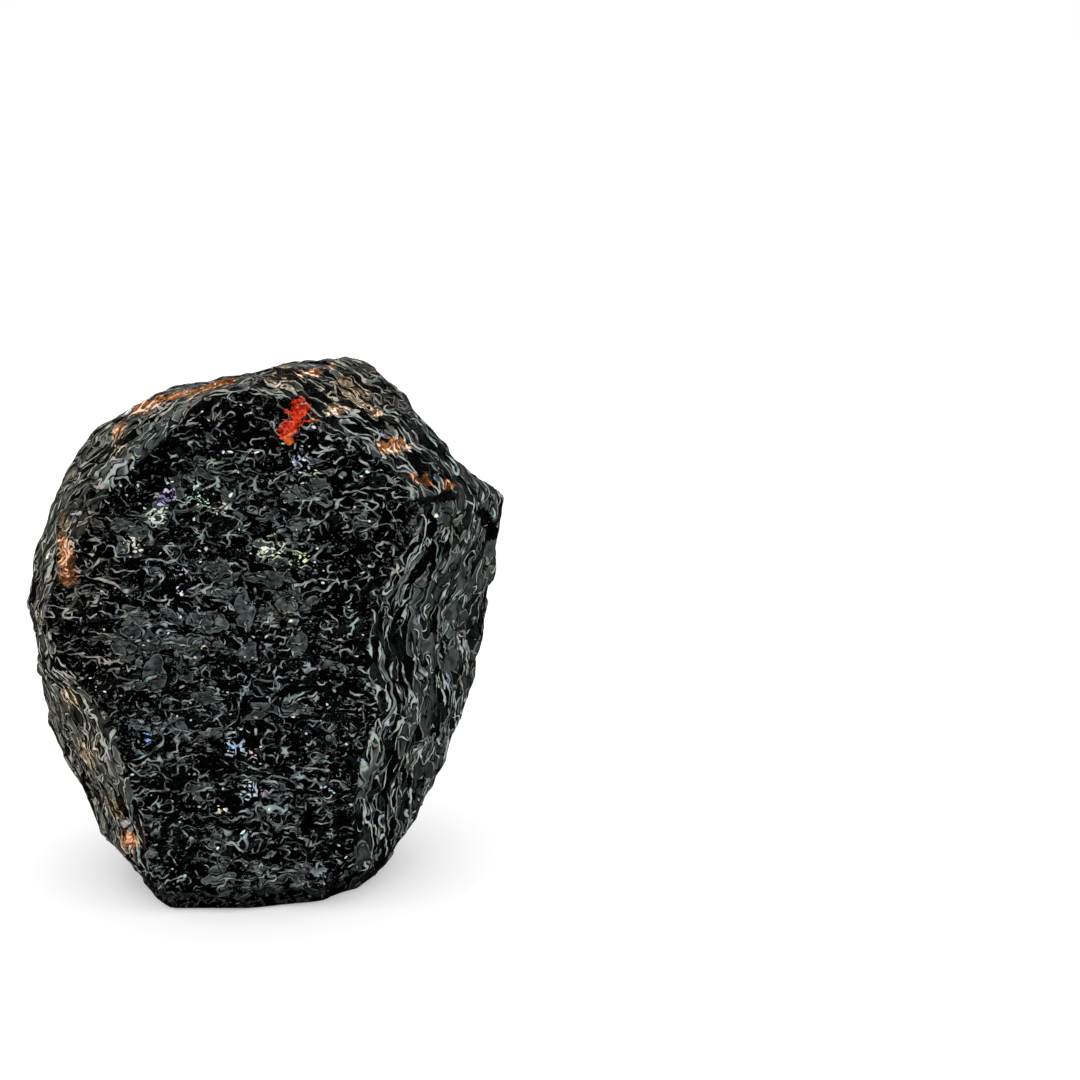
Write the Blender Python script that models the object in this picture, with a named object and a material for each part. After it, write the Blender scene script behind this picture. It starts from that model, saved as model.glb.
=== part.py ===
"""Obsidian chunk: a split nodule of black volcanic glass that stands on its own broken foot.

The stone is one solid. A flaked front face is framed by a sloping rim of weathered skin, and
the skin closes over the back in a dome that a few large old chips have bitten into.
Metres, +Z up, the flaked face towards -Y, the origin on the ground under the middle.
"""

import math

import bmesh
import bpy
from mathutils import Vector, noise

MM = 0.001

# The rim, clockwise from the top as seen from the front, in mm. Each row is one station: the
# x and z of the widest outline there, then the x and z of the flaked face's edge beside it.
RIM = (
    (-2.0, 58.7, -1.5, 57.8),
    (3.0, 60.0, 2.5, 57.0),
    (9.0, 60.5, 7.0, 53.5),
    (11.0, 59.5, 9.5, 52.5),
    (14.0, 57.0, 12.5, 51.0),
    (17.9, 52.5, 15.5, 48.0),
    (21.3, 48.3, 16.5, 47.0),
    (26.7, 43.9, 17.0, 45.5),
    (26.0, 38.5, 16.0, 42.0),
    (24.3, 30.5, 12.0, 35.5),
    (23.0, 22.0, 11.0, 28.5),
    (20.9, 17.0, 12.5, 23.5),
    (19.0, 11.5, 10.5, 17.5),
    (15.6, 5.5, 9.5, 11.5),
    (12.6, 2.0, 9.2, 8.0),
    (9.0, -4.0, 8.4, 6.5),
    (5.5, -6.5, 5.0, 4.4),
    (-2.5, -7.5, -2.0, 2.0),
    (-11.5, -6.5, -11.2, 2.0),
    (-15.4, -0.5, -13.3, 7.0),
    (-21.0, 5.0, -14.0, 11.5),
    (-22.5, 9.0, -15.0, 15.0),
    (-25.0, 14.5, -16.5, 19.0),
    (-26.5, 17.0, -17.5, 22.0),
    (-26.7, 26.5, -22.5, 28.5),
    (-27.0, 33.0, -24.0, 33.5),
    (-26.9, 37.3, -22.0, 38.5),
    (-23.7, 46.2, -18.0, 45.5),
    (-20.0, 51.9, -13.0, 50.5),
    (-12.0, 56.5, -7.5, 55.5),
)

# The flaked face is a plane that leans back as it rises. Inside its edge it is dished: each row
# is a share of the way in to the middle, and how deep the dish is there.
FACE_FOOT_Y = -15.0 * MM
FACE_LEAN = 0.12
DISH_RINGS = ((0.13, 1.0 * MM), (0.45, 1.1 * MM))
DISH_DEPTH = 0.5 * MM

# How far the rim slopes back from the face to the widest outline: a least depth, and more
# where the rim is wide. Its middle bulges, so the rim is a rounded shoulder.
RIM_LEAST_DEPTH = 4.0 * MM
RIM_DEPTH_PER_WIDTH = 0.8
BULGE_OUT = 0.60
BULGE_BACK = 0.36

# Behind the widest outline: (y, share of the way in to the middle) of each ring of the back.
BACK_RINGS = ((8.5 * MM, 0.07), (14.5 * MM, 0.27), (18.5 * MM, 0.58))
MIDDLE = Vector((-1.0 * MM, 0.0, 31.0 * MM))
BACK_Y = 19.5 * MM

# Chips, in mm: a place near the surface, then the half width and the depth of the scar there.
# Each is the bite of a ball, which leaves the shallow shell-like bowl of broken glass.
CHIPS = (
    ("crown", (-1.5, -8.5, 53.0), 6.5, 1.3),
    ("brow", (-12.5, -9.0, 46.0), 5.5, 0.9),
    ("right_hollow", (9.0, -10.0, 40.5), 5.0, 1.3),
    ("upper_ledge", (-2.0, -10.5, 39.5), 7.5, 0.9),
    ("middle_ledge", (3.5, -11.5, 30.5), 6.5, 1.3),
    ("left_step", (-7.0, -12.0, 25.0), 6.0, 1.7),
    ("left_pocket", (-15.5, -12.0, 22.5), 3.2, 1.1),
    ("lower_ledge", (4.5, -12.5, 21.0), 6.0, 1.2),
    ("low_scoop", (-2.0, -13.5, 11.0), 8.0, 0.9),
    ("rim_right_upper", (24.5, -2.0, 38.0), 5.5, 0.9),
    ("rim_right", (21.5, -3.0, 27.0), 6.0, 1.0),
    ("rim_right_inner", (14.0, -9.5, 31.0), 4.0, 0.6),
    ("rim_right_low", (15.0, -7.5, 14.0), 5.5, 0.8),
    ("foot_right", (10.5, -11.5, 0.5), 4.5, 1.2),
    ("rim_left_low", (-20.0, -7.0, 13.0), 5.5, 0.7),
    ("rim_left", (-24.0, -8.0, 25.0), 3.0, 0.4),
    ("rim_top_left", (-17.5, -5.0, 50.0), 5.0, 0.6),
    ("rim_top", (11.5, -4.0, 55.0), 4.5, 0.7),
    ("back_upper", (7.0, 18.0, 44.0), 13.0, 2.4),
    ("back_lower", (-9.0, 19.0, 20.0), 12.0, 2.2),
    ("back_right", (18.0, 11.0, 24.0), 9.5, 1.8),
    ("back_left", (-20.0, 9.0, 38.0), 8.5, 1.6),
    ("back_foot", (9.0, 15.0, 8.0), 7.0, 1.4),
    ("back_top", (-8.0, 10.0, 57.0), 7.5, 1.3),
)

# The bowls aren't true balls: a slow noise lifts and sinks their floors by up to this much.
CHIP_WOBBLE = 0.45 * MM
CHIP_WOBBLE_SPREAD = 4.5 * MM

# Flakes: layers lie parallel to the face, so a flake is broad across it and thin along Y.
FLAKE_SHAPE = Vector((1.55, 0.60, 1.0))
COARSE_FLAKE = 5.6 * MM
FINE_FLAKE = 2.6 * MM
COARSE_RELIEF = 0.65 * MM
FINE_RELIEF = 0.42 * MM
TILT = 0.55
MEAN_FLAKE = 0.35  # the usual height of a flake, taken off so that the relief neither swells nor shrinks
SEED_SCATTER = 57.0  # spreads the flakes' seeds, so that each one leans its own way
NO_LEAN = Vector((0.5, 0.5, 0.5))

# Ledges: the flaked face drops in steps, whose lips wander across it.
LEDGE_SPREAD = Vector((9.0 * MM, 40.0 * MM, 6.5 * MM))
LEDGE_RANGE = 1.25 * MM
LEDGE_STEP = 0.55 * MM
LEDGE_LIP = 0.30
LEDGE_ROUGHNESS = 1.0
LEDGE_FINENESS = 2.0
LEDGE_OCTAVES = 2
FACE_FADE = (2.2 * MM, 3.4 * MM)  # the ledges die out between these depths behind the face's plane

FOOT_FADE = 2.5 * MM  # and all relief dies out below this height, so the foot's edge is clean
FOOT_TOLERANCE = 0.02 * MM

GRAIN_OF_MESH = 0.8 * MM
TRIANGLES = 9200


def face_y(z):
    """The y of the face's plane at a height."""
    return FACE_FOOT_Y + FACE_LEAN * z


def inward(ring, share, y_of):
    """A ring drawn in to the middle by a share, at the y that y_of gives for each of its points."""
    drawn = [point.lerp(MIDDLE, share) for point in ring]
    return [Vector((p.x, y_of(p), p.z)) for p in drawn]


def rings():
    """Rings of points from the dish, over the face's edge, the rim and the widest outline, to the back."""
    face, bulge, widest = [], [], []
    for x, z, face_x, face_z in RIM:
        edge = Vector((face_x * MM, face_y(face_z * MM), face_z * MM))
        width = math.hypot(x - face_x, z - face_z) * MM
        depth = RIM_LEAST_DEPTH + RIM_DEPTH_PER_WIDTH * width
        outer = Vector((x * MM, edge.y + depth, z * MM))
        middle = edge.lerp(outer, BULGE_OUT)
        middle.y = edge.y + BULGE_BACK * depth
        face.append(edge)
        bulge.append(middle)
        widest.append(outer)
    dish = [inward(face, share, lambda p, d=depth: face_y(p.z) + d) for share, depth in DISH_RINGS]
    back = [inward(widest, share, lambda p, y=y: y) for y, share in BACK_RINGS]
    return [*reversed(dish), face, bulge, widest, *back]


def add_cap(bm, ring, centre):
    """Closes a ring with a fan of triangles to a centre point."""
    tip = bm.verts.new(centre)
    for a, b in zip(ring, ring[1:] + ring[:1]):
        bm.faces.new((a, b, tip))


def lofted_nodule():
    """The whole stone before any chip: its rings joined, and capped in front and behind."""
    bm = bmesh.new()
    layers = [[bm.verts.new(point) for point in ring] for ring in rings()]
    for front, back in zip(layers, layers[1:]):
        for i in range(len(RIM)):
            j = (i + 1) % len(RIM)
            bm.faces.new((front[i], front[j], back[j], back[i]))
    add_cap(bm, layers[0], Vector((MIDDLE.x, face_y(MIDDLE.z) + DISH_DEPTH, MIDDLE.z)))
    add_cap(bm, layers[-1], Vector((MIDDLE.x, BACK_Y, MIDDLE.z)))
    bmesh.ops.recalc_face_normals(bm, faces=bm.faces)
    mesh = bpy.data.meshes.new("obsidian_chunk")
    bm.to_mesh(mesh)
    bm.free()
    return mesh


def link(mesh):
    """An object that shows the mesh, made the active one."""
    stone = bpy.data.objects.new(mesh.name, mesh)
    bpy.context.scene.collection.objects.link(stone)
    bpy.context.view_layer.objects.active = stone
    stone.select_set(True)
    return stone


def apply_modifier(stone, kind, **settings):
    """Adds a modifier with its settings and applies it."""
    modifier = stone.modifiers.new(kind.title(), kind)
    for name, value in settings.items():
        setattr(modifier, name, value)
    bpy.ops.object.modifier_apply(modifier=modifier.name)


def smooth_step(low, high, value):
    """0 below low, 1 above high, and an even S between."""
    t = min(1.0, max(0.0, (value - low) / (high - low)))
    return t * t * (3.0 - 2.0 * t)


def chip_balls(stone):
    """The (centre, radius) of the ball that bites each chip out, standing square on the surface."""
    balls = []
    for _, near, half_width, depth in CHIPS:
        _, spot, outward, _ = stone.closest_point_on_mesh(Vector(near) * MM)
        radius = (half_width**2 + depth**2) / (2.0 * depth) * MM
        balls.append((spot + outward * (radius - depth * MM), radius))
    return balls


def bitten(point, balls):
    """The point pushed out of every ball, onto the slightly uneven bowl that the chip left."""
    wobble = CHIP_WOBBLE * noise.noise(point / CHIP_WOBBLE_SPREAD)
    for centre, radius in balls:
        away = point - centre
        if away.length < radius + wobble:
            point = centre + away.normalized() * (radius + wobble)
    return point


def flake_height(point, size):
    """Bowls that meet in sharp ridges, each tipped its own way: the relief of one size of flake."""
    cell = Vector(p / (size * s) for p, s in zip(point, FLAKE_SHAPE))
    distances, seeds = noise.voronoi(cell)
    lean = noise.cell_vector(seeds[0] * SEED_SCATTER) - NO_LEAN
    return distances[0] ** 2 + TILT * lean.dot(cell - seeds[0]) - MEAN_FLAKE


def ledge_height(point):
    """Steps that fall across the face: a slow noise cut into treads, with a short steep lip between."""
    spot = Vector(p / s for p, s in zip(point, LEDGE_SPREAD))
    slope = noise.fractal(spot, LEDGE_ROUGHNESS, LEDGE_FINENESS, LEDGE_OCTAVES)
    level = slope * LEDGE_RANGE / LEDGE_STEP
    tread = math.floor(level)
    return (tread + smooth_step(1.0 - LEDGE_LIP, 1.0, level - tread)) * LEDGE_STEP


def relief(point):
    """How far the surface stands out at a point: flakes everywhere, ledges on the face alone."""
    on_face = 1.0 - smooth_step(*FACE_FADE, point.y - face_y(point.z))
    height = COARSE_RELIEF * flake_height(point, COARSE_FLAKE)
    height += FINE_RELIEF * flake_height(point, FINE_FLAKE)
    height += ledge_height(point) * on_face
    return height * smooth_step(0.0, FOOT_FADE, point.z)


def carve(stone):
    """Bites the chips out, then raises the flakes and ledges along each point's normal."""
    mesh = stone.data
    balls = chip_balls(stone)
    starts = [v.co.copy() for v in mesh.vertices]
    for vertex in mesh.vertices:
        vertex.co = bitten(vertex.co, balls)
    mesh.update()
    normals = [v.normal.copy() for v in mesh.vertices]
    for vertex, start, normal in zip(mesh.vertices, starts, normals):
        vertex.co += normal * relief(start)
    mesh.update()


def cut_foot(stone):
    """Cuts the stone off flat at z = 0, where it rests."""
    bm = bmesh.new()
    bm.from_mesh(stone.data)
    cut = bmesh.ops.bisect_plane(
        bm,
        geom=bm.verts[:] + bm.edges[:] + bm.faces[:],
        plane_co=(0.0, 0.0, 0.0),
        plane_no=(0.0, 0.0, 1.0),
        dist=FOOT_TOLERANCE,
        clear_inner=True,
    )["geom_cut"]
    rim = [e for e in cut if isinstance(e, bmesh.types.BMEdge) and e.is_boundary]
    bmesh.ops.contextual_create(bm, geom=rim)
    bmesh.ops.recalc_face_normals(bm, faces=bm.faces)
    bm.to_mesh(stone.data)
    bm.free()


def glass():
    """Black glass with a grey weathered cast."""
    material = bpy.data.materials.new("black_glass")
    material.use_nodes = True
    shader = material.node_tree.nodes["Principled BSDF"]
    shader.inputs["Base Color"].default_value = (0.016, 0.018, 0.018, 1.0)
    shader.inputs["Roughness"].default_value = 0.3
    shader.inputs["IOR"].default_value = 1.5
    material.diffuse_color = (0.05, 0.055, 0.055, 1.0)
    return material


def main():
    for old in list(bpy.data.objects):
        bpy.data.objects.remove(old)
    stone = link(lofted_nodule())
    apply_modifier(stone, "REMESH", mode="VOXEL", voxel_size=GRAIN_OF_MESH)
    carve(stone)
    apply_modifier(stone, "TRIANGULATE")
    apply_modifier(stone, "DECIMATE", ratio=TRIANGLES / len(stone.data.polygons))
    cut_foot(stone)
    stone.data.materials.append(glass())


main()
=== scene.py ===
"""Dresses the obsidian chunk: fine flakes, weathered skin, stains, painted highlights and glints, painted
shade, and a pale studio.

Lengths in the pattern code are in millimetres, because the patterns are a few tenths of one wide.
"""

import math
from collections import namedtuple

import bpy
import numpy as np
from bpy.props import FloatProperty, FloatVectorProperty, IntProperty, PointerProperty
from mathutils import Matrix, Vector


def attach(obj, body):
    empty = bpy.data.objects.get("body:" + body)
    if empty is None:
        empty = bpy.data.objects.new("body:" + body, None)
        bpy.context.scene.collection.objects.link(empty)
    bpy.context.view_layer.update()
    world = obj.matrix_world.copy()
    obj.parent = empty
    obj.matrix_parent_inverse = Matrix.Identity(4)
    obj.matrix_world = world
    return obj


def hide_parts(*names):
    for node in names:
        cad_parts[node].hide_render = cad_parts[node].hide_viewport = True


bl_info = {
    "name": "Obsidian Chunk",
    "version": (1, 0, 0),
    "blender": (4, 5, 0),
    "location": "3D View > Sidebar > Obsidian",
    "description": "Flakes, skin, stains and studio for a chunk of volcanic glass",
    "category": "Object",
}

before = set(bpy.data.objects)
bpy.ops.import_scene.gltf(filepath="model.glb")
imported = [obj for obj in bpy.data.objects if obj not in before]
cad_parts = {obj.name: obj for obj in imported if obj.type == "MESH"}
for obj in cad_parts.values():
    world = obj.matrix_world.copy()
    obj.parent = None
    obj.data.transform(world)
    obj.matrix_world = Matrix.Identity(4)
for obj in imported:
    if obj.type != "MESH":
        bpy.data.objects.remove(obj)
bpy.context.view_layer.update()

MM = 0.001
NODE = "obsidian_chunk"
PIECE = "flaked_obsidian"
BODY = "root"

# ---------------------------------------------------------------- the stone's own landmarks, in mm

# The edge of the flaked face, clockwise from the top as seen from the front: x and z.
FACE_EDGE = (
    (-1.5, 58.0), (2.5, 57.0), (7.0, 53.5), (9.5, 52.5), (12.5, 51.0), (15.5, 48.0), (16.5, 47.0),
    (17.0, 45.5), (16.5, 42.0), (14.0, 38.5), (12.3, 35.5), (11.0, 28.5), (12.5, 23.5), (10.5, 17.5),
    (9.5, 11.5), (9.5, 8.0), (9.5, 5.5), (10.0, -2.0), (-13.0, -2.0), (-13.5, 7.0), (-14.0, 11.5),
    (-15.0, 15.0), (-16.5, 19.0), (-17.5, 22.0), (-22.5, 28.5), (-24.0, 33.5), (-22.0, 38.5),
    (-18.0, 45.5), (-13.0, 50.5), (-7.5, 55.5),
)

# The face is a plane that leans back as it rises, and the stone's layers lie parallel to it.
FACE_FOOT_Y = -15.0
FACE_LEAN = 0.12
FACE_DEEPEST = 6.0  # no part of the flaked face lies further behind its plane than this

# ---------------------------------------------------------------- node expressions


class Wire:
    """A node's output. Arithmetic on it adds Math nodes, or Vector Math nodes where a vector is in it."""

    def __init__(self, tree, socket=None):
        self.tree = tree
        self.socket = socket

    def node(self, kind, settings=None, sockets=None, output=0):
        """Adds a node: its settings first, then the values or links of its sockets. Gives one output."""
        made = self.tree.nodes.new(kind)
        for name, value in (settings or {}).items():
            setattr(made, name, value)
        for name, value in (sockets or {}).items():
            if isinstance(value, Wire):
                self.tree.links.new(value.socket, made.inputs[name])
            else:
                made.inputs[name].default_value = value
        return Wire(self.tree, made.outputs[output])

    def other(self, output):
        """Another output of the same node."""
        return Wire(self.tree, self.socket.node.outputs[output])

    def maths(self, operation, *terms):
        many = [t for t in terms if isinstance(t, (Vector, tuple))]
        many += [t for t in terms if isinstance(t, Wire) and t.socket.type in ("VECTOR", "RGBA")]
        if not many:
            return self.node("ShaderNodeMath", {"operation": operation}, dict(enumerate(terms)))
        wide = {i: t if isinstance(t, (Wire, Vector, tuple)) else (t, t, t) for i, t in enumerate(terms)}
        return self.node("ShaderNodeVectorMath", {"operation": operation}, wide)

    def __add__(self, other):
        return self.maths("ADD", self, other)

    def __sub__(self, other):
        return self.maths("SUBTRACT", self, other)

    def __rsub__(self, other):
        return self.maths("SUBTRACT", other, self)

    def __mul__(self, other):
        return self.maths("MULTIPLY", self, other)

    def __truediv__(self, other):
        return self.maths("DIVIDE", self, other)

    def __pow__(self, power):
        return self.maths("POWER", self, power)

    def at_most(self, limit):
        return self.maths("MINIMUM", self, limit)

    def at_least(self, limit):
        return self.maths("MAXIMUM", self, limit)

    def floor(self):
        return self.maths("FLOOR", self)

    def dot(self, other):
        return self.node("ShaderNodeVectorMath", {"operation": "DOT_PRODUCT"}, {0: self, 1: other}, "Value")

    def size(self):
        return self.maths("ABSOLUTE", self)

    def length(self):
        return self.node("ShaderNodeVectorMath", {"operation": "LENGTH"}, {0: self}, "Value")

    def part(self, axis):
        return self.node("ShaderNodeSeparateXYZ", None, {0: self}, axis)

    def rise(self, low, high):
        """0 below low, 1 above high and an even S between; a fall if low is the higher."""
        return self.node(
            "ShaderNodeMapRange",
            {"interpolation_type": "SMOOTHSTEP"},
            {"Value": self, "From Min": low, "From Max": high},
        )

    def between(self, a, b):
        """This mask's mix of two numbers: a where it is 0, b where it is 1."""
        return self.node("ShaderNodeMix", {"data_type": "FLOAT"}, {0: self, 2: a, 3: b})

    def colours(self, a, b):
        """This mask's mix of two colours."""
        a, b = (c if isinstance(c, Wire) else (*c, 1.0)[:4] for c in (a, b))
        return self.node("ShaderNodeMix", {"data_type": "RGBA"}, {0: self, 6: a, 7: b}, 2)


# ---------------------------------------------------------------- patterns that relief and finish share


def cloud(place, size, detail=2.0, roughness=0.5, stretch=(1.0, 1.0, 1.0)):
    """Soft noise from 0 to 1 whose blotches are about size wide."""
    spot = place / tuple(size * s for s in stretch)
    return place.node(
        "ShaderNodeTexNoise",
        None,
        {"Vector": spot, "Scale": 1.0, "Detail": detail, "Roughness": roughness},
    )


def crooked(place, size, amount):
    """The place pushed about by noise, which bends every line of a pattern laid on it."""
    push = cloud(place, size, 0.0).other("Color")
    return place + (push - (0.5, 0.5, 0.5)) * (2.0 * amount)


def cells(place, size, stretch, feature="F1"):
    """Cells about size wide. Gives (the place counted in cells, the pattern's node)."""
    spot = place / tuple(size * s for s in stretch)
    pattern = place.node("ShaderNodeTexVoronoi", {"feature": feature}, {"Vector": spot, "Scale": 1.0})
    return spot, pattern


def flakes(place, size, stretch, tilt):
    """Bowls that meet in sharp ridges, each tipped its own way."""
    spot, pattern = cells(place, size, stretch)
    lean = (pattern.other("Color") - (0.5, 0.5, 0.5)).dot(spot - pattern.other("Position"))
    return pattern * pattern + lean * tilt


# How the layers of a part of the stone lie: how far a pattern on them is drawn out each way, and the
# ways along the surface in which the width of its lines is measured.
Lie = namedtuple("Lie", "stretch ways")
ON_FACE = Lie((1.6, 0.7, 0.95), ((1.0, 0.0, 0.0), (0.0, 0.0, 1.0)))
ON_CHIPS = Lie((1.4, 0.8, 1.0), ON_FACE.ways)
ON_SKIN = Lie((3.1, 0.9, 3.1), ((0.0, 1.0, 0.0), (0.7, 0.0, 0.7)))
SLOPE_STEP = 0.06  # the step that measures a slope, counted in the size of its swell


def swell(place, size, lie, detail=0.0):
    """Rounded noise from 0 to 1, for contour lines."""
    return cloud(place, size, detail, 0.4, lie.stretch)


def slope(height, place, size, lie, detail=0.0):
    """How much a swell changes in a millimetre of the surface."""
    squares = 0.0
    for way in lie.ways:
        step = Vector(w * s for w, s in zip(way, lie.stretch)) * (SLOPE_STEP * size)
        rise = (swell(place + tuple(step), size, lie, detail) - height) / step.length
        squares = rise * rise + squares
    return (squares ** 0.5).at_least(0.03 / size)


# Leaf-shaped slivers with pointed ends: the contour bands of a swell, each cut to length. The shift
# moves the swell, so that no two sorts of leaves follow each other.
Leaves = namedtuple("Leaves", "size lie count shift")

# Winding lines: the middle contours of a swell, with half their width in mm.
Lines = namedtuple("Lines", "size lie half_width shift")

# How slivers look: the tone of their middles, which on the face is partly a painted reflection, and of their
# lips, a painted highlight, and the width in mm of a lip and of the painted shade around a sliver.
Look = namedtuple("Look", "fill lip lip_width gap")


def bands(place, leaves, share):
    """The leaves' swell, how many bands inside a leaf a place lies, and the number of its band."""
    spot = place + leaves.shift
    height = swell(spot, leaves.size, leaves.lie, 1.0)
    level = (height * leaves.count).floor()
    along = height * leaves.count - level
    cut = swell(spot + level * (17.3, 5.1, 9.7), leaves.size * 1.7, leaves.lie)
    return height, along.at_most((cut - 0.5) * 3.0 + share - along), level


def slivers(place, leaves, share):
    """How many millimetres inside a leaf a place lies, below 0 between leaves, and a shade from 0 to 1."""
    height, deep, level = bands(place, leaves, share)
    shade = level * 0.618
    steep = slope(height, place + leaves.shift, leaves.size, leaves.lie, 1.0)
    return deep / (steep * leaves.count), shade - shade.floor()


def raised(place, leaves, share, height):
    """Leaves as thin raised plates."""
    return bands(place, leaves, share)[1].rise(-0.15, 0.15) * height


def curls(place, lines, share):
    """Thin winding lines, cut to short lengths that taper at their ends.

    Gives how many millimetres inside a line a place lies, below 0 between lines.
    """
    spot = place + lines.shift
    height = swell(spot, lines.size, lines.lie)
    off = (height - 0.5).size() / slope(height, spot, lines.size, lines.lie)
    keep = (swell(spot + (7.0, 3.0, 5.0), lines.size, lines.lie) - 0.5) * 8.0 + share * 2.0
    return keep.at_most(1.0) * lines.half_width - off


def lay(tone, sliver, look, texture):
    """Lays slivers over a tone: a dull middle inside a lip with a painted highlight, and painted black shade
    around it.
    """
    deep, shade = sliver
    tone = deep.rise(-0.4 * look.gap, -look.gap) * tone
    middle = shade.between(look.fill * 0.35, look.fill * 1.5) * texture
    inner = deep.rise(look.lip_width * 0.6, look.lip_width * 1.4).between(look.lip, middle)
    return deep.rise(-0.03, 0.03).between(tone, inner)


def draw(tone, line, gap, bright):
    """Draws lines of painted highlight over a tone, with painted black shade of one width beside them."""
    return line.rise(-0.02, 0.05).between(tone * line.rise(-0.05, -0.05 - gap), bright)


# ---------------------------------------------------------------- settings


class ShapeSettings(bpy.types.PropertyGroup):
    """Sizes of the visible relief."""

    grain: FloatProperty(
        name="Grain", description="Edge of a voxel of the working mesh",
        default=0.2 * MM, min=0.1 * MM, unit="LENGTH",
    )
    rounding: IntProperty(
        name="Rounding", description="Passes that smooth the solid's own facets away",
        default=9, min=0, max=60,
    )
    triangles: IntProperty(
        name="Triangles", description="Triangles in the finished stone", default=196000, min=20000,
    )
    relief: FloatProperty(
        name="Relief", description="Strength of all fine relief", default=1.0, min=0.0, max=2.0,
    )


class ColourSettings(bpy.types.PropertyGroup):
    """Hues of the dull parts of the stone, and how strongly its gloss mirrors."""

    glass: FloatVectorProperty(
        name="Glass", description="Hue of the frosted flakes on the fresh glass",
        default=(0.84, 1.0, 0.99), subtype="COLOR", min=0.0, max=1.0,
    )
    skin: FloatVectorProperty(
        name="Skin", description="Hue of the weathered skin",
        default=(0.88, 1.0, 0.95), subtype="COLOR", min=0.0, max=1.0,
    )
    glass_bend: FloatProperty(
        name="Glass bend", description="Index of refraction of the fresh glass",
        default=1.5, min=1.0, max=3.0,
    )
    skin_bend: FloatProperty(
        name="Skin bend", description="Index of refraction of the weathered skin",
        default=1.25, min=1.0, max=3.0,
    )


class StageSettings(bpy.types.PropertyGroup):
    """The studio."""

    floor: FloatVectorProperty(
        name="Floor", description="Pale floor", default=(0.9, 0.9, 0.9), subtype="COLOR",
    )


# ---------------------------------------------------------------- where the patches are, in mm

# A patch of the face fades out this many times its radius from its middle.
FROST_REACH = 1.5
GLINT_REACH = 1.4

# Where the face is more frosted, rougher and with a slate tone that is partly painted reflection, or more
# polished if below 0: x and z of the middle, radius, strength.
FROSTED = (
    (-0.5, 33.5, 6.5, 0.12),
    (-14.4, 32.0, 3.8, 0.60),
    (-11.0, 46.0, 3.5, 0.22),
    (-13.5, 40.0, 4.0, 0.20),
    (3.0, 46.5, 5.0, -0.14),
    (-1.0, 55.0, 5.8, -0.44),
    (-6.0, 50.5, 4.5, -0.28),
    (-11.5, 50.0, 3.0, -0.28),
    (7.8, 35.5, 5.4, -0.44),
    (9.8, 41.0, 4.0, -0.28),
    (7.8, 26.5, 4.4, -0.30),
    (-7.6, 38.0, 2.6, -0.20),
    (-17.6, 38.0, 3.6, -0.25),
    (-18.5, 27.0, 2.5, -0.20),
    (-2.8, 26.3, 3.2, -0.42),
    (-7.0, 19.5, 4.0, -0.14),
)

# Smooth slate patches on the skin: x, y, z and radius.
SMOOTH = (
    (20.2, -2.5, 31.7, 2.6),
    (20.0, -0.5, 25.1, 2.2),
    (21.7, -3.0, 35.8, 2.4),
    (24.6, 2.3, 37.6, 1.8),
)

# Rust, ochre, clay and paint on the stone, chips of its pale inside and two painted glints: how far it fills
# the dark painted shade, how much paler its painted highlights are and its colour, then x, y, z and radius of
# each patch.
STAINS = (
    ("orange rust", 0.16, 0.25, (0.66, 0.25, 0.085), (
        (8.9, -3.2, 58.3, 1.5), (10.5, -3.2, 57.0, 1.3), (5.8, -7.0, 54.6, 1.2), (18.0, -7.0, 47.8, 1.3),
        (20.2, -5.8, 47.2, 1.1), (16.6, -7.6, 48.4, 1.1), (-21.9, -9.4, 40.6, 2.5), (-21.5, -9.7, 37.9, 2.3),
        (-22.8, -8.4, 42.6, 1.9), (-15.9, -11.0, 7.2, 2.0), (-4.0, -3.5, 58.2, 2.0), (-16.0, -3.5, 52.5, 2.0),
    )),
    ("bright rust", 0.34, 0.45, (0.74, 0.29, 0.095), (
        (-13.8, -1.3, 54.9, 2.2), (-11.4, -2.6, 55.9, 2.8), (-9.2, -2.2, 56.6, 2.6), (-7.0, -3.0, 57.2, 2.4),
        (-5.2, -3.6, 57.6, 1.6), (14.9, -6.2, 51.7, 1.7), (13.6, -7.3, 51.7, 1.4), (5.6, -3.0, 59.2, 1.4),
    )),
    ("peach ochre", 0.16, 0.35, (0.85, 0.55, 0.34), (
        (4.0, -3.6, 59.2, 1.8), (8.0, -6.4, 55.8, 1.8), (10.3, -5.0, 56.3, 1.5), (12.4, -4.5, 55.2, 1.5),
        (15.6, -5.6, 51.2, 1.3), (-13.2, -2.4, 55.0, 1.4), (-8.0, -4.2, 56.8, 1.4), (7.2, -1.6, 59.4, 1.2),
    )),
    ("tan clay", 0.03, 0.25, (0.40, 0.30, 0.18), (
        (-21.9, -9.7, 23.5, 2.6), (-20.0, -9.5, 17.0, 3.0), (-17.5, -10.0, 11.0, 3.0),
        (10.0, -4.0, 57.0, 4.0), (-16.0, -5.0, 51.0, 3.0), (-17.0, 8.0, 44.0, 7.0),
        (4.0, 17.0, 44.0, 8.0), (2.0, -4.0, 59.0, 3.5), (14.0, 14.0, 22.0, 8.0),
        (-22.0, -8.0, 43.5, 2.5),
    )),
    ("red paint", 0.60, 0.0, (0.90, 0.055, 0.012), ((4.1, -6.9, 55.6, 2.3), (2.8, -6.9, 53.4, 1.9))),
    ("orange paint", 0.60, 0.0, (0.90, 0.16, 0.035), ((5.6, -6.5, 54.8, 1.3), (3.0, -7.0, 52.6, 1.0))),
    # Painted glints: bright mint flakes of painted highlight on the face.
    ("bright flakes", 0.75, 0.0, (0.68, 0.95, 0.84), ((-5.9, -7.6, 45.1, 0.75), (-9.0, -7.4, 44.7, 0.45))),
    ("bare chips", 1.0, 0.25, (0.85, 0.85, 0.78), (
        (-15.6, -0.5, 54.2, 1.3), (-23.8, -7.7, 39.5, 1.1), (24.4, 0.4, 40.8, 0.6), (18.9, -7.8, 44.1, 0.4),
    )),
)
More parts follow.
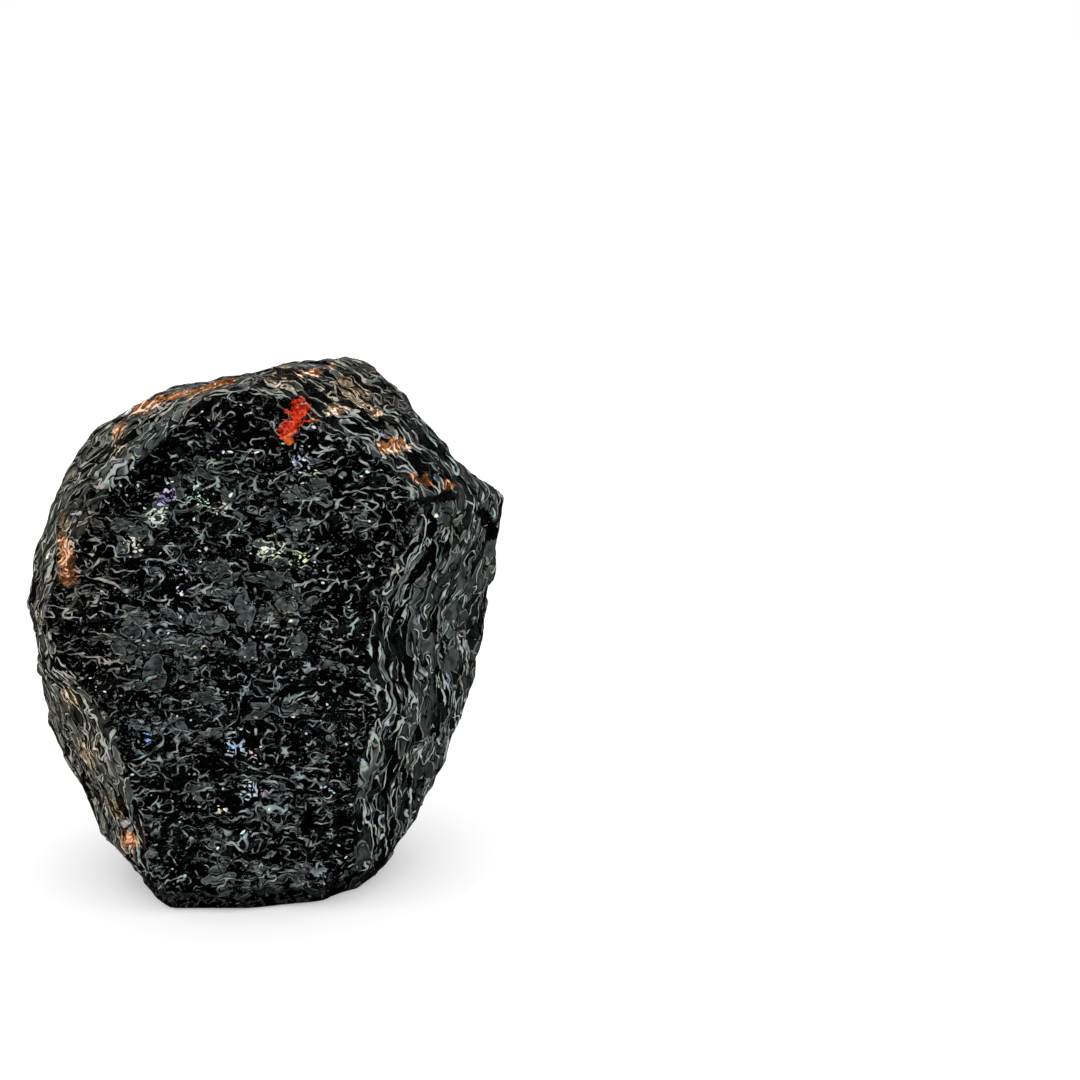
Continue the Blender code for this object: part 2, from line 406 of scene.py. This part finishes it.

# Painted glints, coloured highlights painted where tiny flakes catch the light: x and z of the middle, radius
# and colour.
GLINTS = (
    (-10.6, 46.4, 1.3, (0.60, 0.42, 1.00)),
    (-7.0, 46.4, 1.6, (0.55, 1.00, 0.75)),
    (4.4, 50.0, 1.2, (0.50, 0.60, 1.00)),
    (5.8, 49.0, 0.7, (0.75, 1.00, 0.30)),
    (-8.9, 38.3, 0.7, (0.85, 0.60, 1.00)),
    (-3.6, 18.6, 1.3, (0.40, 0.68, 1.00)),
    (-1.6, 18.1, 0.9, (1.00, 0.66, 0.70)),
    (-2.0, 13.6, 1.0, (0.55, 0.78, 1.00)),
    (-0.7, 13.5, 0.7, (1.00, 0.60, 0.70)),
    (6.9, 13.5, 1.0, (0.60, 0.85, 1.00)),
    (-13.4, 19.3, 0.6, (0.25, 0.50, 1.00)),
    (-5.4, 11.5, 0.7, (1.00, 0.85, 0.45)),
    (0.9, 40.6, 1.5, (0.90, 1.00, 0.50)),
    (3.8, 39.6, 1.2, (0.85, 1.00, 0.45)),
    (-6.7, 29.4, 0.6, (1.00, 0.80, 0.60)),
    (-4.8, 45.2, 1.0, (1.00, 0.80, 0.65)),
    (-11.8, 44.2, 1.3, (0.85, 1.00, 0.85)),
    (-9.3, 35.8, 0.9, (0.80, 0.70, 1.00)),
    (-14.5, 41.0, 1.2, (1.00, 0.95, 0.80)),
)

# ---------------------------------------------------------------- relief

PLACE = "place_before_relief"
INSIDE = "inside_face"
FROST = "frost"
SMOOTH_SKIN = "smooth_skin"
GLINT = "glint"
GLINT_HUE = "glint_hue"


def distance_inside(points, outline):
    """How far each (x, z) point lies inside a closed outline, below 0 outside it."""
    nearest = np.full(len(points), np.inf)
    inside = np.zeros(len(points), bool)
    x, z = points.T
    for (ax, az), (bx, bz) in zip(outline, outline[1:] + outline[:1]):
        ex, ez = bx - ax, bz - az
        along = np.clip(((x - ax) * ex + (z - az) * ez) / (ex * ex + ez * ez), 0.0, 1.0)
        nearest = np.minimum(nearest, np.hypot(x - ax - along * ex, z - az - along * ez))
        if az != bz:
            inside ^= ((az > z) != (bz > z)) & (x < ex * (z - az) / ez + ax)
    return np.where(inside, nearest, -nearest)


def closeness(points, spots):
    """1 at the middle of a round spot, 0 outside them all. Where spots overlap, they add up."""
    close = np.zeros(len(points))
    for *middle, radius in spots:
        part = np.clip(1.0 - np.linalg.norm(points - middle, axis=1) / radius, 0.0, 1.0)
        close += part * part * (3.0 - 2.0 * part)
    return close


def store(mesh, name, values):
    """Stores a number or a vector for each point of a mesh."""
    kind, field = ("FLOAT", "value") if values.ndim == 1 else ("FLOAT_VECTOR", "vector")
    mesh.attributes.new(name, kind, "POINT").data.foreach_set(field, values.astype(np.float32).ravel())


def mark_stone(stone):
    """Stores what the relief and the finish need at each point: its place, how far inside the flaked
    face's edge it lies, and how close it is to each patch."""
    mesh = stone.data
    flat = np.zeros(len(mesh.vertices) * 3, np.float32)
    mesh.vertices.foreach_get("co", flat)
    place = flat.reshape(-1, 3).astype(float) / MM
    flat_place = place[:, [0, 2]]
    inside = distance_inside(flat_place, FACE_EDGE)
    behind = place[:, 1] - FACE_FOOT_Y - FACE_LEAN * place[:, 2]
    inside = np.where(behind > FACE_DEEPEST, np.minimum(inside, FACE_DEEPEST - behind), inside)
    store(mesh, PLACE, place)
    store(mesh, INSIDE, inside)
    frost = np.zeros(len(place))
    for x, z, radius, strength in FROSTED:
        frost += closeness(flat_place, [(x, z, radius * FROST_REACH)]) * strength
    store(mesh, FROST, frost)
    store(mesh, SMOOTH_SKIN, closeness(place, SMOOTH))
    for name, *_, patches in STAINS:
        store(mesh, name, closeness(place, patches))
    spots = [(x, z, radius * GLINT_REACH) for x, z, radius, _ in GLINTS]
    by_glint = np.array([closeness(flat_place, [spot]) for spot in spots])
    store(mesh, GLINT, by_glint.max(axis=0))
    store(mesh, GLINT_HUE, np.array([hue for *_, hue in GLINTS])[by_glint.argmax(axis=0)])


def stored(wire, name):
    """A number that mark_stone stored, read back while the relief is made."""
    return wire.node("GeometryNodeInputNamedAttribute", {"data_type": "FLOAT"}, {"Name": name})


def painted(wire, name, output="Fac"):
    """A number or a vector that mark_stone stored, read back by the finish."""
    return wire.node("ShaderNodeAttribute", {"attribute_name": name}, None, output)


LAYERED = (1.6, 0.7, 0.9)  # a bowl of the face is broad across it and thin along the layers


def fineness(place):
    """1 low on the face, where the flakes are small and even."""
    return place.part("Z").rise(25.0, 15.0)


def bends(place):
    """The place bent broadly and bent finely, for the face's broad and small patterns."""
    return crooked(place, 2.0, 0.7), crooked(place, 0.8, 0.28)


BROAD = Leaves(3.6, ON_FACE, 4.0, (0.0, 0.0, 0.0))
SMALL = Leaves(1.9, ON_FACE, 4.0, (9.0, 2.0, 4.0))
FAINT = Leaves(2.2, ON_FACE, 5.0, (4.0, 9.0, 1.0))
STRANDS = Leaves(2.9, ON_SKIN, 4.0, (0.0, 0.0, 0.0))
THREADS = Leaves(1.3, ON_SKIN, 4.0, (9.0, 2.0, 4.0))
SHADES = Leaves(2.6, ON_SKIN, 4.0, (4.0, 9.0, 1.0))
STRAND_SHARE = 0.30  # how much of the skin its strands cover

# How far in mm the leaves stand up, and the width in mm of the painted shade beside a line.
BROAD_HEIGHT = 0.25
SMALL_HEIGHT = 0.14
STRAND_HEIGHT = 0.22
THREAD_HEIGHT = 0.08
FACE_LINE_SHADE = 0.15
SKIN_LINE_SHADE = 0.18

FAINT_LOOK = Look(0.005, 0.010, 0.12, 0.10)
BROAD_LOOK = Look(0.080, 0.13, 0.14, 0.16)
SMALL_LOOK = Look(0.076, 0.17, 0.13, 0.14)
SLATE_LOOK = Look(0.082, 0.130, 0.09, 0.28)
SHADES_LOOK = Look(0.013, 0.020, 0.12, 0.12)
STRANDS_LOOK = Look(0.050, 0.14, 0.13, 0.20)
THREADS_LOOK = Look(0.064, 0.19, 0.11, 0.16)

LONG_CURLS = Lines(3.0, ON_FACE, 0.14, (18.2, 0.0, 0.0))
SHORT_CURLS = Lines(1.7, ON_FACE, 0.14, (10.5, 0.0, 0.0))
CHIP_CURLS = Lines(1.0, ON_CHIPS, 0.12, (6.3, 0.0, 0.0))
LONG_STREAKS = Lines(1.7, ON_SKIN, 0.135, (11.2, 0.0, 0.0))
SHORT_STREAKS = Lines(0.95, ON_SKIN, 0.115, (6.3, 0.0, 0.0))


def leaf_shares(frost, fine):
    """How much of the face the broad and the small leaves cover."""
    return frost - fine * 0.15, frost * 0.7 + fine * 0.10


def beside_edge(place, inside):
    """The place with its distance from the face's edge, out and back, for its depth, bent a little."""
    across = (inside - place.part("Y") * 0.7) * 0.65
    spot = place.node("ShaderNodeCombineXYZ", None, {0: place.part("X"), 1: across, 2: place.part("Z")})
    return crooked(spot, 1.6, 0.45)


RAGGED_EDGE = 1.0  # how far in mm the edge between face and skin wanders, in and out together


def ragged(place, inside):
    """How far a place lies inside the face's edge, where the edge itself is ragged."""
    return inside + (cloud(place, 0.8) - 0.5) * RAGGED_EDGE


def frosting(place, inside, patches):
    """How much of the face is frosted here, about -0.2; less just inside its edge, and as patches say."""
    return (cloud(place, 5.0, 0.0) - 0.5) * 0.8 - 0.20 - inside.rise(5.0, 1.0) * 0.14 + patches


# Cracks that cut across the skin: x and z of both ends, and half the width.
CRACKS = (
    (16.6, 45.9, 20.8, 45.9, 0.55),
    (23.9, 43.2, 25.0, 39.2, 0.75),
)


def crack(place):
    """1 in a crack of the skin, 0 elsewhere."""
    flat = crooked(place, 1.2, 0.4) * (1.0, 0.0, 1.0)
    dark = 0.0
    for x, z, end_x, end_z, half_width in CRACKS:
        way = Vector((end_x - x, 0.0, end_z - z))
        away = flat - (x, 0.0, z)
        along = away.dot(tuple(way / way.length_squared)).at_least(0.0).at_most(1.0)
        off = (away - place.maths("MULTIPLY", along, tuple(way))).length()
        dark = off.rise(half_width * 1.2, half_width * 0.6) + dark
    return dark * place.part("Y").rise(4.0, 2.0)


def face_relief(place, inside, patches):
    """Height of the flaked face."""
    bent, small_bent = bends(place)
    broad, small = leaf_shares(frosting(place, inside, patches), fineness(place))
    middle = cloud(place, 11.0, 1.0).rise(0.40, 0.62)
    height = flakes(bent, 2.8, LAYERED, 1.2) * middle.between(0.5, 0.9) - 0.3
    height = height + flakes(small_bent, 1.4, LAYERED, 1.2) * 0.40
    height = height + flakes(small_bent, 0.75, (1.2, 0.8, 1.0), 1.0) * 0.12
    height = height + raised(bent, BROAD, broad, BROAD_HEIGHT)
    return height + raised(small_bent, SMALL, small, SMALL_HEIGHT)


def skin_relief(place, inside):
    """Height of the weathered skin: strands that run beside the face's edge, and lumps."""
    spot = beside_edge(place, inside)
    ribs = raised(spot, STRANDS, STRAND_SHARE, STRAND_HEIGHT)
    ribs = ribs + raised(crooked(spot, 0.6, 0.15), THREADS, 0.08, THREAD_HEIGHT)
    lumps = (cloud(place, 3.5, 1.0, 0.5) - 0.5) * 0.8
    return (ribs + lumps - 0.1) * crack(place).between(1.0, 0.4) - crack(place) * 0.15


FOOT_FADE = 1.5  # the relief grows from nothing at the flat foot to its full height here, in mm


def relief_group(strength):
    """The node group that raises the fine relief along each point's normal."""
    tree = bpy.data.node_groups.new("fine_relief", "GeometryNodeTree")
    tree.interface.new_socket("Geometry", in_out="INPUT", socket_type="NodeSocketGeometry")
    tree.interface.new_socket("Geometry", in_out="OUTPUT", socket_type="NodeSocketGeometry")
    start = Wire(tree)
    stone = start.node("NodeGroupInput")
    position = start.node("GeometryNodeInputPosition")
    normal = start.node("GeometryNodeInputNormal")
    place = position / (MM, MM, MM)
    inside = stored(start, INSIDE)
    face = face_relief(place, inside, stored(start, FROST))
    height = ragged(place, inside).rise(-0.3, 0.3).between(skin_relief(place, inside), face)
    fade = place.part("Z").rise(0.0, FOOT_FADE)
    moved = position + normal * (height * fade * (strength * MM))
    on_ground = moved.maths("MAXIMUM", moved, (-1.0, -1.0, 0.0))
    placed = start.node("GeometryNodeSetPosition", None, {"Geometry": stone, "Position": on_ground})
    end = tree.nodes.new("NodeGroupOutput")
    tree.links.new(placed.socket, end.inputs[0])
    return tree


# ---------------------------------------------------------------- finish


BLACK = 0.0004  # tone of the polished glass
PALEST_SKIN = 0.42
# Painted shade: the stone is darkened along its foot, where it curves under toward the floor.
FOOT_SHADE_HEIGHT = 2.8  # the stone is dark below about this height in mm
FOOT_SHADE_WANDER = 2.4  # how far in mm the strip's upper edge wanders, up and down together
FOOT_SHADE_TONE = 0.15  # what is left of the tone there

# Broad smooth flakes with a slate face, whose tone is partly painted reflection: x and z of the middle, half
# the width and half the height.
SLATE_FLAKES = (
    (-2.2, 33.9, 1.1, 1.5),
    (-5.9, 32.4, 2.1, 1.5),
    (0.4, 37.2, 3.0, 0.8),
    (2.2, 34.3, 1.6, 0.9),
    (3.6, 29.8, 1.0, 1.3),
    (-3.2, 29.4, 2.3, 0.7),
    (7.2, 27.4, 1.8, 0.4),
    (-12.3, 26.5, 0.8, 2.4),
    (-14.4, 32.6, 1.5, 1.8),
    (-15.6, 29.6, 1.5, 0.9),
    (-6.8, 23.5, 1.6, 0.8),
    (3.2, 22.4, 1.8, 0.7),
    (4.2, 43.4, 1.5, 0.6),
)


OUT_OF_REACH = 9.0  # counted in half widths, further away than any of them shows


def slate_flakes(place):
    """The broad smooth flakes: how many millimetres inside one a place lies, and a shade from 0 to 1."""
    spot = crooked(crooked(place, 2.2, 0.9), 0.8, 0.25)
    closest = OUT_OF_REACH
    for x, z, half_width, half_height in SLATE_FLAKES:
        away = (spot - (x, 0.0, z)) * (1.0 / half_width, 0.0, 1.0 / half_height)
        closest = away.length().at_most(closest)
    return (1.0 - closest) * 1.1, cloud(place, 1.4, 1.0).rise(0.35, 0.65)


def face_finish(place, inside):
    """Tone, roughness and bump of the flaked glass: polished black, frosted slivers whose slate tone is
    partly painted reflection, lips and lines of painted highlight with painted shade beside them, and painted
    sparkles.
    """
    bent, small_bent = bends(place)
    frost, fine = frosting(place, inside, painted(place, FROST)), fineness(place)
    broad, small = leaf_shares(frost, fine)
    texture = cloud(place, 0.5, 1.0, 0.6, (2.2, 1.0, 0.7)).rise(0.30, 0.70).between(0.5, 1.25)
    # Frosted slivers are rougher, and their slate tone is partly painted reflection; their lips are painted
    # highlights, with painted shade around each.
    tone = lay(BLACK, slivers(bent, FAINT, frost * 0.5), FAINT_LOOK, texture)
    tone = lay(tone, slivers(bent, BROAD, broad), BROAD_LOOK, texture)
    tone = lay(tone, slivers(small_bent, SMALL, small), SMALL_LOOK, texture)
    slate = slate_flakes(place)
    tone = lay(tone, slate, SLATE_LOOK, texture)

    # Lines of painted highlight along the flake edges, with painted shade beside them.
    share = frost * 0.4 - slate[0].rise(-0.3, 0.1) * 0.30
    line = curls(bent, LONG_CURLS, share)
    line = line.at_least(curls(small_bent, SHORT_CURLS, share))
    line = line.at_least(curls(small_bent, CHIP_CURLS, fine * 0.14 - 0.10))
    bright = cloud(place, 1.1, 1.0).rise(0.36, 0.66).between(0.05, 0.40)
    tone = draw(tone, line, FACE_LINE_SHADE, bright)

    # Painted sparkles: tiny specks of painted highlight, more of them near the glints.
    _, painted_sparkle = cells(small_bent, 0.55, (1.3, 1.0, 0.8))
    chance = painted_sparkle.other("Color")
    painted_sparkle = (chance.part(1).between(0.12, 0.42) - painted_sparkle).rise(0.0, 0.12)
    painted_sparkle = painted_sparkle * (painted(place, GLINT) * 0.12 + 0.15 - chance.part(0)).rise(0.0, 0.01)
    tone = painted_sparkle.between(tone, chance.part(2).rise(0.15, 0.95) ** 1.8 * 0.95 + 0.06)
    grain = flakes(place, 0.5, (1.2, 0.8, 1.0), 1.0) * 0.03
    return tone, tone.rise(0.02, 0.05).between(0.07, 0.5), grain


def skin_finish(place, inside):
    """Tone, roughness and bump of the weathered skin: slate strands with lips of painted highlight and gaps
    of painted shade.
    """
    spot = beside_edge(place, inside)
    fine_spot = crooked(spot, 0.6, 0.15)
    texture = cloud(spot, 0.6, 1.0, 0.6, ON_SKIN.stretch).rise(0.30, 0.70).between(0.45, 1.25)

    # Masks of the stone's parts, and a calm that differs from place to place, most on the back.
    top = place.part("Z").rise(49.0, 53.0)
    outer = place.part("Y").rise(-3.0, 1.0)
    back = place.part("Y").rise(0.0, 9.0)
    left = place.part("X").rise(-13.0, -18.0) * (1.0 - back)
    calm = (cloud(place, 7.0, 0.0) - 0.5) * (back * 0.5 + 0.35)

    ground = outer * 0.006 + back * 0.008 + 0.001
    plain = top * 0.15 + back * 0.16 - left * 0.10 + calm
    threads = top * 0.10 - back * 0.08 + left * 0.12 + 0.08 - calm
    tone = lay(ground, slivers(spot, SHADES, STRAND_SHARE), SHADES_LOOK, texture)
    tone = lay(tone, slivers(spot, STRANDS, STRAND_SHARE - plain), STRANDS_LOOK, texture)
    tone = lay(tone, slivers(fine_spot, THREADS, threads), THREADS_LOOK, texture)

    # Streaks of painted highlight along the strands, with painted shade beside them.
    short = top * 0.25 - back * 0.14 + left * 0.10 + 0.06 - calm
    line = curls(fine_spot, LONG_STREAKS, 0.15 - back * 0.18 - calm)
    line = line.at_least(curls(fine_spot, SHORT_STREAKS, short))
    bright = cloud(place, 1.1, 1.0).rise(0.36, 0.66).between(0.08, 0.48) * (1.0 - back * 0.45)
    tone = draw(tone, line, SKIN_LINE_SHADE, bright)

    slate = (painted(place, SMOOTH_SKIN) + (cloud(place, 1.2, 1.0) - 0.5) * 0.9).rise(0.36, 0.46)
    tone = slate.between(tone, cloud(place, 1.2, 2.0).rise(0.35, 0.65).between(0.018, 0.066))
    # A painted highlight on the skin just outside the face's edge, in patches.
    pale = inside.rise(-2.6, -0.5) * cloud(place, 4.0, 1.0).rise(0.38, 0.54)
    tone = (tone * (pale * 0.9 + 1.18 - outer * 0.16 + left * 0.18)).at_most(PALEST_SKIN)
    # Painted shade in the skin's cracks, which the relief also sinks.
    tone = tone * crack(place).between(1.0, 0.02)
    return tone, tone.rise(0.01, 0.05).between(0.25, 0.5), cloud(place, 0.5, 2.0, 0.65) * 0.10


def tint(place, hue):
    """Grey of the glass's dull parts: a cool hue, warmer at the top and on the left of the skin."""
    warmth = (cloud(place, 5.0, 1.0) - 0.5) * 1.6 - 0.1 + place.part("Z").rise(50.0, 57.0) * 0.6
    warmth = warmth + place.part("X").rise(-13.0, -18.0) * 0.7
    flecks = (cloud(place, 0.7, 0.0).other("Color") - (0.5, 0.5, 0.5)) * 0.5
    return warmth.rise(-0.2, 1.0).colours(hue, (1.0, 0.94, 0.80)) + flecks


def stain(place, colour, tone):
    """The colour with the stains on it, paler on the painted highlights of lips and lines, dark in the
    painted shade between them.
    """
    torn = (cloud(place, 0.6, 2.0, 0.7, (1.6, 1.0, 0.8)) - 0.5) * 2.2
    patchy = cloud(place + (3.0, 3.0, 3.0), 0.4, 1.0, 0.6).rise(0.35, 0.65).between(0.35, 1.35)
    held = tone.rise(0.0, 0.06) * 0.6 + tone.rise(0.06, 0.25) * 0.6
    pale = tone.rise(0.10, 0.35)
    for name, cover, highlight_paleness, hue, _ in STAINS:
        close = painted(place, name)
        mask = (close + torn).rise(0.38, 0.50) * close.rise(0.05, 0.25)
        pigment = place.maths("MULTIPLY", held.at_least(cover) * patchy, hue) + pale * highlight_paleness
        colour = mask.colours(colour, pigment)
    return colour


def glints(place, colour, tone):
    """The colour with small coloured sparkles painted on it as highlights, and the painted highlight lines
    beside them coloured too.
    """
    _, pattern = cells(crooked(place, 0.5, 0.3), 0.42, (1.4, 1.0, 0.8))
    chance = pattern.other("Color")
    dot = (chance.part(1).between(0.12, 0.58) - pattern).rise(0.0, 0.12)
    white = chance.part(2).rise(0.35, 0.75)
    shiny = tone.rise(0.07, 0.14)
    close = painted(place, GLINT)
    hue = painted(place, GLINT_HUE, "Vector")
    lit = (close * 0.8 + chance.part(0) * 0.9).rise(0.86, 0.94) * dot
    lit = lit.at_least(shiny * close.rise(0.15, 0.45) * 0.5) * close.rise(0.02, 0.05)
    return lit.colours(colour, (white * 0.7).colours(hue, (0.95, 1.0, 0.97)))


def coat(shader, place, finish, hue, bend, sparkles=False):
    """Joins a tone, a roughness and a bump to a shader, with painted shade along the foot, and the stains and
    painted glints over them.
    """
    tone, rough, grain = finish
    # Painted shade along the foot, where the stone curves under toward the floor.
    above = place.part("Z") + (cloud(place, 3.0, 1.0) - 0.5) * FOOT_SHADE_WANDER
    tone = tone * above.rise(FOOT_SHADE_HEIGHT, FOOT_SHADE_HEIGHT - 0.5).between(1.0, FOOT_SHADE_TONE)
    colour = stain(place, tint(place, hue) * tone, tone)
    if sparkles:
        colour = glints(place, colour, tone)
    bump = place.node("ShaderNodeBump", None, {"Strength": 1.0, "Distance": MM, "Height": grain})
    place.tree.links.new(colour.socket, shader.inputs["Base Color"])
    place.tree.links.new(rough.socket, shader.inputs["Roughness"])
    place.tree.links.new(bump.socket, shader.inputs["Normal"])
    shader.inputs["IOR"].default_value = bend


def glass_finish(colours):
    """Black glass where it is freshly broken, dull skin where it is weathered."""
    material = bpy.data.materials.new("black_volcanic_glass")
    material.use_nodes = True
    tree = material.node_tree
    start = Wire(tree)
    fresh_glass = tree.nodes["Principled BSDF"]
    skin = start.node("ShaderNodeBsdfPrincipled").socket.node
    place = painted(start, PLACE, "Vector")
    inside = painted(start, INSIDE)
    face, rim = face_finish(place, inside), skin_finish(place, inside)
    coat(fresh_glass, place, face, tuple(colours.glass), colours.glass_bend, sparkles=True)
    coat(skin, place, rim, tuple(colours.skin), colours.skin_bend)
    on_face = ragged(place, inside).rise(-0.1, 0.1)
    shaders = {0: on_face, 1: Wire(tree, skin.outputs[0]), 2: Wire(tree, fresh_glass.outputs[0])}
    both = start.node("ShaderNodeMixShader", None, shaders)
    tree.links.new(both.socket, tree.nodes["Material Output"].inputs["Surface"])
    return material


# ---------------------------------------------------------------- operators


def only(stone):
    """Makes the stone the one selected and active object."""
    bpy.ops.object.select_all(action="DESELECT")
    stone.select_set(True)
    bpy.context.view_layer.objects.active = stone


def apply_modifier(stone, kind, **settings):
    """Adds a modifier with its settings and applies it."""
    modifier = stone.modifiers.new(kind.title(), kind)
    for name, value in settings.items():
        setattr(modifier, name, value)
    bpy.ops.object.modifier_apply(modifier=modifier.name)


WELD = 0.001 * MM  # points closer than this are one
CREASE = math.radians(38.0)  # edges sharper than this stay sharp


class OBSIDIAN_OT_flake_stone(bpy.types.Operator):
    """Flakes the stone: a finely chipped face and a streaked skin over the solid's own shape."""

    bl_idname = "obsidian.flake_stone"
    bl_label = "Flake Stone"

    def execute(self, context):
        shape = context.scene.obsidian_shape
        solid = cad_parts[NODE]
        stone = bpy.data.objects.new(PIECE, solid.data.copy())
        context.scene.collection.objects.link(stone)
        only(stone)
        bpy.ops.object.mode_set(mode="EDIT")
        bpy.ops.mesh.select_all(action="SELECT")
        bpy.ops.mesh.remove_doubles(threshold=WELD)
        bpy.ops.object.mode_set(mode="OBJECT")
        apply_modifier(stone, "REMESH", mode="VOXEL", voxel_size=shape.grain)
        apply_modifier(stone, "SMOOTH", factor=0.5, iterations=shape.rounding)
        mark_stone(stone)
        apply_modifier(stone, "NODES", node_group=relief_group(shape.relief))
        apply_modifier(stone, "TRIANGULATE")
        apply_modifier(stone, "DECIMATE", ratio=min(1.0, shape.triangles / len(stone.data.polygons)))
        bpy.ops.object.shade_smooth_by_angle(angle=CREASE)
        stone.data.materials.clear()
        stone.data.materials.append(glass_finish(context.scene.obsidian_colours))
        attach(stone, BODY)
        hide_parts(NODE)
        return {"FINISHED"}


CAMERA_TARGET = Vector((30.3, -5.0, 40.6)) * MM
CAMERA_DISTANCE = 266.7 * MM
CAMERA_LENS = 80.0
CAMERA_LIFT = math.radians(15.0)  # how far above the level of the stone the camera looks from


def aim(camera, target):
    """Turns the camera to look at a place."""
    camera.rotation_euler = (target - camera.location).to_track_quat("-Z", "Y").to_euler()


# The panels that the glass mirrors: the way to each from the stone, its half width in degrees and
# its brightness. The rest of the room is nearly dark to it.
PANELS = (
    ("overhead", (0.0, -0.35, 1.0), 14.0, 2.0),
    ("left", (-1.0, -0.9, 0.25), 9.0, 1.6),
    ("left_far", (-1.0, 0.2, 0.3), 10.0, 1.2),
    ("right", (1.0, -0.55, 0.25), 10.0, 1.5),
    ("right_far", (1.0, 0.5, 0.3), 10.0, 1.2),
    ("back", (0.0, 1.0, 0.5), 14.0, 1.2),
    ("spark_left", (-0.40, -0.85, 0.45), 4.0, 8.0),
    ("spark_right", (0.45, -0.85, 0.5), 4.0, 7.0),
    ("spark_low", (-0.35, -0.95, -0.15), 3.0, 6.0),
)
PANEL_CORE = 0.93  # the share of a panel's half width that has its full brightness
PANEL_TINT = (0.90, 0.98, 1.0)
ROOM_GLOW = 0.004
DOME_GLOW = 1.1
FLOOR_IN_GLOSS = 0.01
FLOOR_LIFT = 0.26  # the paper's own glow, which keeps it pale around the shadow
FLOOR_SIZE = 3.0  # metres
FLOOR_DROP = 0.05 * MM  # the floor lies this far under the stone


def dress_world(world):
    """White to the camera, an even dome for soft shading, and panels in a dark room to the gloss."""
    world.use_nodes = True
    tree = world.node_tree
    back = tree.nodes["Background"]
    start = Wire(tree)
    direction = start.node("ShaderNodeTexCoord", None, None, "Generated")
    ray = start.node("ShaderNodeLightPath", None, None, "Is Camera Ray")
    mirrored = ROOM_GLOW
    for _, way, half_width, brightness in PANELS:
        facing = direction.dot(tuple(Vector(way).normalized()))
        edge = math.cos(math.radians(half_width))
        core = math.cos(math.radians(half_width * PANEL_CORE))
        mirrored = facing.rise(edge, core) * brightness + mirrored
    strength = ray.other("Is Glossy Ray").between(DOME_GLOW, mirrored)
    strength = ray.between(strength, 1.0)
    tree.links.new(strength.socket, back.inputs["Strength"])
    tint = ray.other("Is Glossy Ray").colours((1.0, 1.0, 1.0), PANEL_TINT)
    tree.links.new(tint.socket, back.inputs["Color"])


def pale_floor(colour):
    """Pale paper, which the gloss of the stone mirrors only dimly."""
    paper = bpy.data.materials.new("pale_floor")
    paper.use_nodes = True
    tree = paper.node_tree
    shader = tree.nodes["Principled BSDF"]
    shader.inputs["Base Color"].default_value = (*colour, 1.0)
    shader.inputs["Roughness"].default_value = 0.9
    shader.inputs["Specular IOR Level"].default_value = 0.0
    start = Wire(tree)
    glossy = start.node("ShaderNodeLightPath", None, None, "Is Glossy Ray")
    dim = start.node("ShaderNodeEmission", None, {"Color": (1.0, 1.0, 1.0, 1.0), "Strength": FLOOR_IN_GLOSS})
    shader.inputs["Emission Color"].default_value = (1.0, 1.0, 1.0, 1.0)
    shader.inputs["Emission Strength"].default_value = FLOOR_LIFT
    mixed = start.node("ShaderNodeMixShader", None, {0: glossy, 1: Wire(tree, shader.outputs[0]), 2: dim})
    tree.links.new(mixed.socket, tree.nodes["Material Output"].inputs["Surface"])
    return paper


class OBSIDIAN_OT_set_stage(bpy.types.Operator):
    """Sets the pale floor, the light of the room and the camera."""

    bl_idname = "obsidian.set_stage"
    bl_label = "Set Stage"

    def execute(self, context):
        scene = context.scene
        bpy.ops.object.select_all(action="DESELECT")
        bpy.ops.mesh.primitive_plane_add(size=FLOOR_SIZE, location=(0.0, 0.0, -FLOOR_DROP))
        floor = context.object
        floor.name = "floor"
        floor.data.materials.append(pale_floor(scene.obsidian_stage.floor))

        scene.world = scene.world or bpy.data.worlds.new("studio")
        dress_world(scene.world)
        scene.view_settings.view_transform = "Standard"

        back = Vector((0.0, -math.cos(CAMERA_LIFT), math.sin(CAMERA_LIFT)))
        bpy.ops.object.camera_add(location=CAMERA_TARGET + back * CAMERA_DISTANCE)
        camera = context.object
        camera.data.lens = CAMERA_LENS
        camera.data.clip_start = 0.01
        aim(camera, CAMERA_TARGET)
        scene.camera = camera
        return {"FINISHED"}


class OBSIDIAN_PT_sidebar(bpy.types.Panel):
    """The chunk's settings and steps, in the 3D view's sidebar."""

    bl_label = "Obsidian Chunk"
    bl_idname = "OBSIDIAN_PT_sidebar"
    bl_space_type = "VIEW_3D"
    bl_region_type = "UI"
    bl_category = "Obsidian"

    def draw(self, context):
        scene = context.scene
        for settings in (scene.obsidian_shape, scene.obsidian_colours, scene.obsidian_stage):
            box = self.layout.box()
            for name in settings.bl_rna.properties.keys():
                if name not in ("rna_type", "name"):
                    box.prop(settings, name)
        for step in STEPS:
            self.layout.operator(step.bl_idname)


STEPS = (OBSIDIAN_OT_set_stage, OBSIDIAN_OT_flake_stone)
GROUPS = {
    "obsidian_shape": ShapeSettings,
    "obsidian_colours": ColourSettings,
    "obsidian_stage": StageSettings,
}


def register():
    for kind in (*GROUPS.values(), *STEPS, OBSIDIAN_PT_sidebar):
        bpy.utils.register_class(kind)
    for name, group in GROUPS.items():
        setattr(bpy.types.Scene, name, PointerProperty(type=group))


def unregister():
    for name in GROUPS:
        delattr(bpy.types.Scene, name)
    for kind in (OBSIDIAN_PT_sidebar, *reversed(STEPS), *GROUPS.values()):
        bpy.utils.unregister_class(kind)


def main():
    register()
    bpy.ops.obsidian.set_stage()
    bpy.ops.obsidian.flake_stone()


if __name__ == "__main__":
    main()
